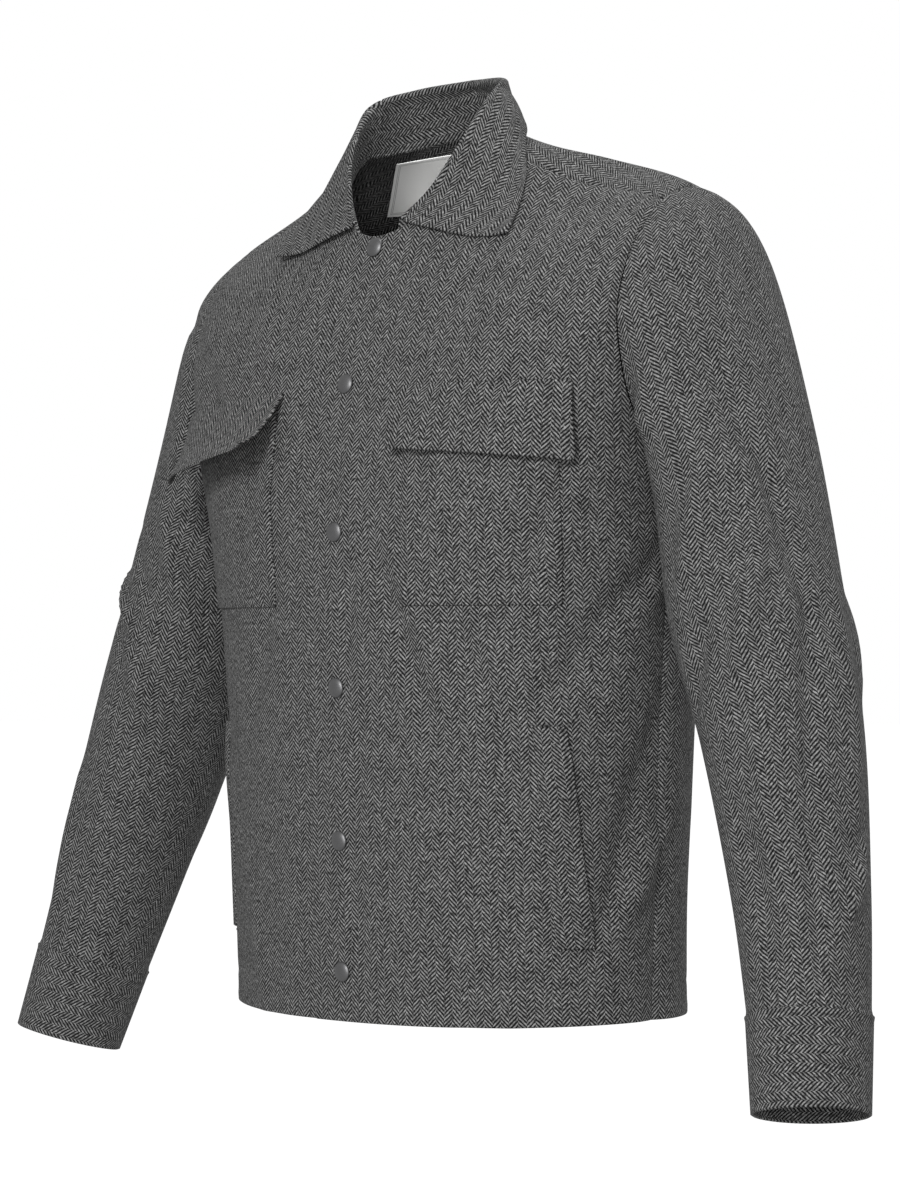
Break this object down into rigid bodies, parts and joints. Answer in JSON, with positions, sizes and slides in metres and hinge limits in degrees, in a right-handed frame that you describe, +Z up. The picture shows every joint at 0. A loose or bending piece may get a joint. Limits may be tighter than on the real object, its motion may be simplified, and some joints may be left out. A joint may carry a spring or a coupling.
{
  "type": "flannel overshirt",
  "caption": "Relaxed herringbone overshirt, worn closed: folded collar, snap front, flapped chest pockets, slanted hand-pocket welts and cuffed sleeves.",
  "frame": {"origin": "between the neck points of the two shoulders, at the height where the shoulder seams meet the collar: the place where a wearer carries the garment", "axes": "+Z up, -Y out of the front, +X towards the wearer's left"},
  "size_m": [0.886, 0.3102, 0.7988],
  "materials": {
    "flannel": "matt brushed wool-blend flannel in a charcoal and light grey herringbone",
    "label_cloth": "smooth woven label, bare",
    "snap_metal": "dark gunmetal, softly polished"
  },
  "bodies": {
    "root": {"front_left": "flannel", "front_right": "flannel", "back": "flannel", "yoke": "flannel", "collar": "flannel", "sleeve_left": "flannel", "sleeve_right": "flannel", "cuff_left": "flannel", "cuff_right": "flannel", "pocket_left": "flannel", "pocket_right": "flannel", "flap_left": "flannel", "flap_right": "flannel", "welt_left": "flannel", "welt_right": "flannel", "label": "label_cloth", "snap_1": "snap_metal", "snap_2": "snap_metal", "snap_3": "snap_metal", "snap_4": "snap_metal", "snap_5": "snap_metal", "snap_6": "snap_metal"}
  },
  "joints": []
}
